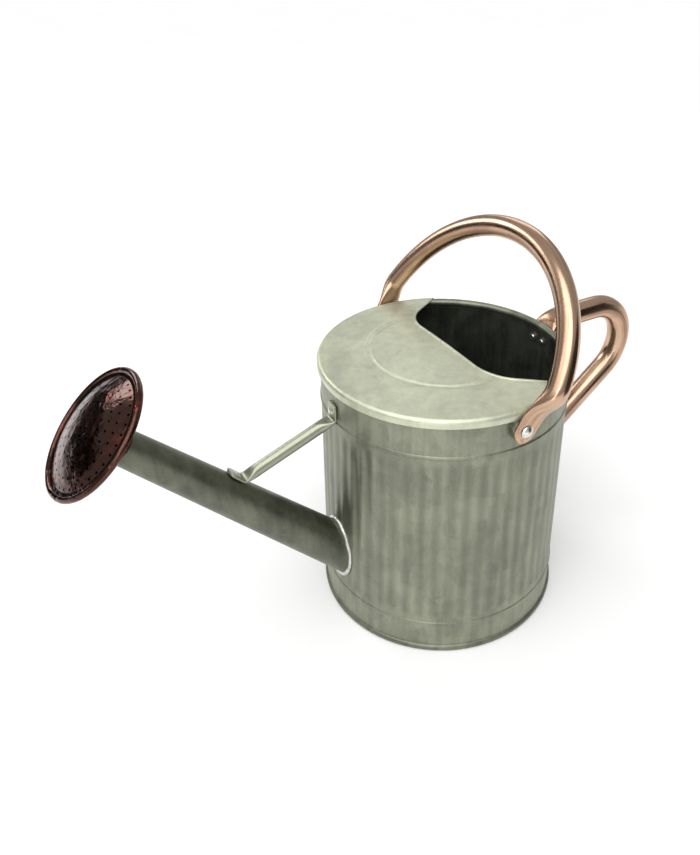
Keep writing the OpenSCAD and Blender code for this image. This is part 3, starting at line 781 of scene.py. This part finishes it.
class CAN_OT_spout(bpy.types.Operator):
    """Make the tapered spout and the solder round its foot"""

    bl_idname = "watering_can.spout"
    bl_label = "Spout"

    def execute(self, context):
        s = context.scene.can_sizes
        to_world = spout_frame(s)
        steps = 30
        sheet = 0.0009
        start, end = -0.045, s.spout_length
        outer = []
        for i in range(steps + 1):
            z = start + (end - 0.0006 - start) * i / steps
            outer.append((spout_radius(s, z), z))
        lip = [
            (spout_radius(s, end) - 0.0001, end - 0.0002),
            (spout_radius(s, end) - 0.0004, end),
            (spout_radius(s, end) - 0.0007, end - 0.0001),
        ]
        inner = [(spout_radius(s, z) - sheet, z) for z in (end - 0.0005, end / 2, start)]
        bm = bmesh.new()
        lathe(bm, outer + lip + inner, 120)
        seam_height, seam_half, seam_end = 0.00045, 0.10, end - 0.010
        for v in bm.verts:
            r = math.hypot(v.co.x, v.co.y)
            if r < spout_radius(s, v.co.z) - sheet / 2:
                continue
            below = abs(math.atan2(v.co.y, -v.co.x))
            across = 1 - ease((below - seam_half) / 0.07)
            push = seam_height * across * ease((seam_end - v.co.z) / 0.002)
            v.co.x *= 1 + push / r
            v.co.y *= 1 + push / r
        bmesh.ops.transform(bm, matrix=to_world, verts=bm.verts)
        tool = bmesh.new()
        depth = 0.25
        low = wall_radius(s, 0) - s.sheet
        high = wall_radius(s, depth) - s.sheet
        bmesh.ops.create_cone(
            tool, cap_ends=True, segments=256, radius1=low, radius2=high, depth=depth
        )
        bmesh.ops.translate(tool, vec=(0, 0, depth / 2), verts=tool.verts)
        set_piece(bm, "spout_pipe", ["zinc spout"], "can", ("spout_tube",), tool)

        bead, bead_out, bead_off_wall = 0.0021, 0.0006, 0.0003
        ring = bmesh.new()
        lathe(ring, arc((s.spout_root + bead_out, 0), bead, 0, 345, 15), 160)
        for v in ring.verts:
            turn = math.atan2(v.co.y, v.co.x)
            shift = 0.0
            for _ in range(12):
                r = spout_radius(s, shift) + bead_out
                p = to_world @ Vector((r * math.cos(turn), r * math.sin(turn), shift))
                gap = math.hypot(p.x, p.y) - wall_radius(s, p.z) - bead_off_wall
                shift -= gap / math.cos(s.spout_rise)
            swell = 1 + 0.14 * math.sin(5 * turn) + 0.1 * math.sin(11 * turn + 1)
            v.co.z = v.co.z * swell + shift
        bmesh.ops.transform(ring, matrix=to_world, verts=ring.verts)
        set_piece(ring, "spout_solder", ["bright solder"], "can", ("spout_collar",))
        return {"FINISHED"}


class CAN_OT_brace(bpy.types.Operator):
    """Make the brace between the wall and the spout"""

    bl_idname = "watering_can.brace"
    bl_label = "Brace"

    def execute(self, context):
        s = context.scene.can_sizes
        h = context.scene.handle_sizes
        to_world = spout_frame(s)
        half_thick, half_wide, half_long = 0.001, 0.006, 0.007
        stand_off = half_thick + SEAT_GAP

        def on_wall(z):
            return Vector((-wall_radius(s, z) - stand_off, 0, z))

        def on_spout(along):
            return to_world @ Vector((spout_radius(s, h.brace_along) + stand_off, 0, along))

        high, low = on_wall(h.brace_height - half_long), on_spout(h.brace_along)
        line = (low - high).normalized()
        top = on_wall(h.brace_height + half_long)
        bottom = on_spout(h.brace_along + 2 * half_long)
        path = [top] + straight(top, high + Vector((0, 0, 0.003)), 8)
        path += bezier(path[-1], high, high, high + line * 0.010, 10)
        path += straight(path[-1], low - line * 0.010, 20)
        inner = low + (bottom - low).normalized() * 0.003
        path += bezier(path[-1], low, low, inner, 10)
        path += straight(path[-1], bottom, 8)
        sizes = flat_ended(path, h.brace_tube, half_wide, half_thick, 0.013, 0.004, 0.35)
        bm = bmesh.new()
        sweep(bm, stations_along(path, sizes, Vector((0, 1, 0))), 32)
        set_piece(bm, "brace_strut", ["zinc brace"], "can", ("brace_tube",))
        return {"FINISHED"}


class CAN_OT_bail(bpy.types.Operator):
    """Make the swinging bail"""

    bl_idname = "watering_can.bail"
    bl_label = "Bail"

    def execute(self, context):
        h = context.scene.handle_sizes
        tube, pad, half_thick, squareness = h.bail_tube, h.bail_pad, 0.0016, 3.2
        pad_top, foot_length, foot_steps, leg_steps = 0.0085, 0.0180, 24, 22
        arch_end = math.radians(16)
        centre = Vector((0, 0, h.bail_up))

        def on_arch(a):
            return centre + Vector((0, math.cos(a), math.sin(a))) * h.bail_arch

        start = on_arch(arch_end)
        ahead = Vector((0, math.sin(arch_end), -math.cos(arch_end)))
        shoulder = Vector((0, h.bail_pad_middle, pad_top))
        above = shoulder + Vector((0, 0, 0.012))
        leg = bezier(start, start + ahead * 0.010, above, shoulder, leg_steps)
        foot = []
        for i in range(1, foot_steps + 1):
            z = pad_top - foot_length * i / foot_steps
            foot.append(Vector((0, h.bail_pad_middle, z)))
        leg_sizes = []
        for i in range(1, leg_steps + 1):
            flat = ease(i / leg_steps)
            wide = tube + (pad - tube) * flat
            thick = tube + (half_thick - tube) * flat
            leg_sizes.append((wide, thick, 2 + (squareness - 2) * flat))
        foot_sizes = []
        for p in foot:
            wide = pad if p.z > 0 else math.sqrt(max(0.0, pad**2 - p.z**2))
            foot_sizes.append((max(wide, 0.0004), half_thick, squareness))
        steps = 96
        sweep_angle = math.pi - 2 * arch_end
        arch = [
            on_arch(math.pi - arch_end - sweep_angle * i / steps) for i in range(steps + 1)
        ]
        right = leg + foot
        left = [Vector((p.x, -p.y, p.z)) for p in reversed(right)]
        path = left + arch + right
        sizes = (leg_sizes + foot_sizes)[::-1] + [(tube, tube, 2.0)] * len(arch)
        sizes += leg_sizes + foot_sizes
        bm = bmesh.new()
        sweep(bm, stations_along(path, sizes, Vector((1, 0, 0))), 48)
        lean = Matrix.Translation((0, 0, PIVOT_HEIGHT)) @ Matrix.Rotation(h.bail_lean, 4, "Y")
        bmesh.ops.transform(bm, matrix=lean, verts=bm.verts)
        set_piece(bm, "bail_bow", ["tube copper"], "bail", ("bail_handle",))
        return {"FINISHED"}


class CAN_OT_rear(bpy.types.Operator):
    """Make the fixed rear handle"""

    bl_idname = "watering_can.rear_handle"
    bl_label = "Rear handle"

    def execute(self, context):
        s = context.scene.can_sizes
        h = context.scene.handle_sizes
        half_thick, half_wide = 0.0015, 0.012
        foot_middle, upper_foot, upper_end = 0.0937, 0.197, 0.205

        def on_wall(z):
            return Vector((wall_radius(s, z) + half_thick + SEAT_GAP, 0, z))

        bend = Vector((h.rear_reach, 0, h.rear_top - h.rear_bend))
        slope = h.rear_slope
        leg = Vector((-math.cos(slope), 0, -math.sin(slope)))
        leg_top = bend + Vector((math.sin(slope), 0, -math.cos(slope))) * h.rear_bend
        reach = (leg_top.x - wall_radius(s, foot_middle) - half_thick) / math.cos(slope)
        leg_foot = leg_top + leg * reach

        top = on_wall(upper_foot)
        path = [top] + straight(top, on_wall(upper_end), 8)
        level = Vector((0.118, 0, h.rear_top))
        pull = Vector((0.101, 0, h.rear_top))
        path += bezier(path[-1], on_wall(0.2135), pull, level, 20)
        path += straight(level, bend + Vector((0, 0, h.rear_bend)), 8)
        turns = 40
        for i in range(1, turns + 1):
            a = math.pi / 2 - (math.pi - slope) * i / turns
            path.append(bend + Vector((math.cos(a), 0, math.sin(a))) * h.rear_bend)
        near = leg_foot - leg * 0.020
        path += straight(leg_top, near, 20)
        low = on_wall(leg_foot.z - 0.007)
        path += bezier(near, near + leg * 0.013, on_wall(leg_foot.z + 0.001), low, 20)
        path += straight(low, on_wall(REAR_HANDLE_FOOT), 12)
        sizes = flat_ended(path, h.rear_tube, half_wide, half_thick, 0.022, 0.006, 0.5)
        bm = bmesh.new()
        sweep(bm, stations_along(path, sizes, Vector((0, 1, 0))), 48)
        set_piece(bm, "rear_grip", ["tube copper"], "can", ("rear_handle",))
        return {"FINISHED"}


class CAN_OT_rose(bpy.types.Operator):
    """Make the rose's socket, cone and ring"""

    bl_idname = "watering_can.rose"
    bl_label = "Rose"

    def execute(self, context):
        s = context.scene.can_sizes
        h = context.scene.handle_sizes
        to_world = spout_frame(s)
        end = s.spout_length
        start = end - h.socket_length
        seat = end + SEAT_GAP
        bore = spout_radius(s, start) + SEAT_GAP
        wall, lip, sheet, bead = 0.0012, 0.0022, 0.0009, 0.0022
        plane = seat + h.rose_depth
        face_r = h.rose_radius - 2 * bead

        socket = [
            (bore, start),
            (bore + 0.0003, start - 0.0002),
            (bore + 0.0011, start),
            (bore + 0.0014, start + 0.0006),
            (bore + wall, start + 0.0012),
            (bore + wall, end + 0.0010),
            (bore - lip, end + 0.0012),
            (bore - lip, seat),
            (spout_radius(s, end) + SEAT_GAP, seat),
        ]
        bm = bmesh.new()
        lathe(bm, socket, 96)
        bmesh.ops.transform(bm, matrix=to_world, verts=bm.verts)
        set_piece(bm, "rose_socket", ["rose copper"], "rose", ("rose_collar",))

        neck, neck_low = bore + wall + SEAT_GAP / 2, end - 0.0030
        cone = [(neck, neck_low), (neck + sheet, neck_low)]
        steps, flare = 16, 0.18
        outer = []
        for i in range(steps + 1):
            t = i / steps
            spread = (1 - flare) * t + flare * t * t
            r = neck + sheet + (face_r - neck - sheet) * spread
            outer.append((r, seat + (h.rose_depth - bead) * t))
        flange_r = h.rose_radius - 0.0012
        flange = [
            (face_r, plane - sheet),
            (flange_r, plane - sheet),
            (flange_r, plane - SEAT_GAP),
            (face_r - sheet, plane),
        ]
        inner = [(r - 0.0011, z + sheet) for r, z in reversed(outer[1:-1])]
        inner.append((neck, end + 0.0010))
        bm = bmesh.new()
        lathe(bm, cone + outer + flange + inner, 144)
        bmesh.ops.transform(bm, matrix=to_world, verts=bm.verts)
        set_piece(bm, "rose_cone", ["rose copper"], "rose", ("rose_back",))

        bm = bmesh.new()
        lathe(bm, arc((h.rose_radius - bead, plane), bead, 0, 345, 23), 180)
        bmesh.ops.transform(bm, matrix=to_world, verts=bm.verts)
        set_piece(bm, "rose_ring", ["rose copper"], "rose", ("rose_rim",))
        return {"FINISHED"}


class CAN_OT_fittings(bpy.types.Operator):
    """Finish the pieces that keep the shape of the frame"""

    bl_idname = "watering_can.fittings"
    bl_label = "Fittings"

    def execute(self, context):
        finishes = {
            "rose copper": ["rose_face"],
            "zinc foot": ["base_hoop"],
            # The base pan gets the same painted shade as the inside of the wall.
            "zinc inside": ["base_pan"],
            "plated steel": [
                "rim_wire",
                "brace_wall_rivet",
                "brace_spout_rivet",
                "bail_rivet_right",
                "bail_rivet_left",
                "bail_washers",
                "bail_burrs",
                "rear_upper_rivets",
                "rear_lower_rivets",
                "rear_burrs",
            ],
        }
        for finish, nodes in finishes.items():
            for node in nodes:
                for slot in frame["nodes"][node].material_slots:
                    slot.material = finish_named(finish)
        return {"FINISHED"}


# ---------------------------------------------------------------- stage


def aimed(place, aim):
    """Rotation that points an object's -Z axis from a place at another."""
    return (Vector(aim) - Vector(place)).to_track_quat("-Z", "Y")


def card(name, place, aim, size, strength):
    """A soft rectangular light that points at a place."""
    lamp = bpy.data.lights.new(name, "AREA")
    lamp.shape = "RECTANGLE"
    lamp.size, lamp.size_y = size
    lamp.energy = strength
    holder = add_object(name, lamp)
    holder.location = place
    holder.rotation_euler = aimed(place, aim).to_euler()


def dark_board(name, place, aim, size):
    """A dark board that only shows in the metal as a reflection."""
    bm = bmesh.new()
    bmesh.ops.create_grid(bm, x_segments=1, y_segments=1, size=0.5)
    bmesh.ops.scale(bm, vec=(size[0], size[1], 1), verts=bm.verts)
    turn = aimed(place, aim).to_matrix().to_4x4()
    bmesh.ops.transform(bm, matrix=Matrix.Translation(place) @ turn, verts=bm.verts)
    board = add_object(name, mesh_of(bm, name))
    black = Finish(name).done(Base_Color=(0.012, 0.011, 0.010), Roughness=0.9)
    board.data.materials.append(black)
    board.visible_camera = False
    board.visible_shadow = False
    board.visible_diffuse = False


def studio_world():
    """A world that lights softly and is plain white to the camera."""
    world = bpy.data.worlds.new("studio")
    world.use_nodes = True
    tree = world.node_tree
    sky = tree.nodes["Background"]
    sky.inputs["Strength"].default_value = 0.44
    seen = tree.nodes.new("ShaderNodeBackground")
    for background in (sky, seen):
        background.inputs["Color"].default_value = (1.0, 1.0, 1.0, 1.0)
    ray = tree.nodes.new("ShaderNodeLightPath")
    either = tree.nodes.new("ShaderNodeMixShader")
    tree.links.new(ray.outputs["Is Camera Ray"], either.inputs["Fac"])
    tree.links.new(sky.outputs[0], either.inputs[1])
    tree.links.new(seen.outputs[0], either.inputs[2])
    tree.links.new(either.outputs[0], tree.nodes["World Output"].inputs["Surface"])
    return world


class CAN_OT_stage(bpy.types.Operator):
    """Set the pale ground, the soft lights and the camera"""

    bl_idname = "watering_can.stage"
    bl_label = "Stage"

    def execute(self, context):
        bm = bmesh.new()
        bmesh.ops.create_circle(bm, cap_ends=True, segments=96, radius=40.0)
        ground = add_object("ground", mesh_of(bm, "ground"))
        ground.data.materials.append(finish_named("pale ground"))
        context.scene.world = studio_world()
        context.scene.view_settings.view_transform = "Standard"

        sun = bpy.data.lights.new("sky light", "SUN")
        sun.energy = 2.35
        sun.angle = math.radians(70)
        high = add_object("sky light", sun)
        high.rotation_euler = aimed((0, 0, 0), (0.45, 0.35, -1.0)).to_euler()
        card("front light", (-0.75, -1.1, 0.55), (-0.02, 0, 0.16), (0.16, 1.0), 1.6)
        card("back light", (0.9, 1.1, 1.1), (0, 0, 0.2), (0.8, 0.6), 1.8)
        card("bail light", (-0.45, 1.0, 0.85), (0, 0, 0.3), (0.5, 0.4), 2.6)
        dark_board("dark board left", (-0.80, -0.25, 0.20), (-0.1, 0, 0.15), (0.12, 1.0))
        dark_board("dark board right", (0.46, -0.50, 0.16), (0.05, 0, 0.12), (0.62, 0.9))
        dark_board("dark board behind", (-0.72, 0.66, 0.36), (-0.25, 0, 0.22), (0.8, 0.42))

        lens = bpy.data.cameras.new("camera")
        lens.sensor_width = 36.0
        lens.lens = 29.47
        lens.shift_x = -0.0634
        lens.clip_start = 0.01
        eye = add_object("camera", lens)
        eye.location = (-0.2642, -0.3828, 0.4715)
        eye.rotation_euler = (math.radians(55.253), 0, math.radians(-30.890))
        context.scene.camera = eye
        return {"FINISHED"}


# ---------------------------------------------------------------- panel and registration


PIECES = [
    CAN_OT_wall,
    CAN_OT_hood,
    CAN_OT_spout,
    CAN_OT_brace,
    CAN_OT_bail,
    CAN_OT_rear,
    CAN_OT_rose,
    CAN_OT_fittings,
    CAN_OT_stage,
]


class CAN_PT_pieces(bpy.types.Panel):
    """Lists the can's pieces in the sidebar"""

    bl_idname = "CAN_PT_pieces"
    bl_label = "Watering can"
    bl_space_type = "VIEW_3D"
    bl_region_type = "UI"
    bl_category = "Watering can"

    def draw(self, context):
        for piece in PIECES:
            self.layout.operator(piece.bl_idname)
        for group in ("can_sizes", "handle_sizes", "can_finishes"):
            settings = getattr(context.scene, group)
            box = self.layout.box()
            for key in settings.__annotations__:
                box.prop(settings, key)


GROUPS = {"can_sizes": CanSizes, "handle_sizes": HandleSizes, "can_finishes": CanFinishes}


def register():
    for group in [*GROUPS.values(), *PIECES, CAN_PT_pieces]:
        bpy.utils.register_class(group)
    for name, group in GROUPS.items():
        setattr(bpy.types.Scene, name, bpy.props.PointerProperty(type=group))


def unregister():
    for name in GROUPS:
        delattr(bpy.types.Scene, name)
    for group in [CAN_PT_pieces, *reversed(PIECES), *GROUPS.values()]:
        bpy.utils.unregister_class(group)


def main():
    """Builds every piece in order."""
    register()
    for piece in PIECES:
        group, name = piece.bl_idname.split(".")
        getattr(getattr(bpy.ops, group), name)()


if __name__ == "__main__":
    main()
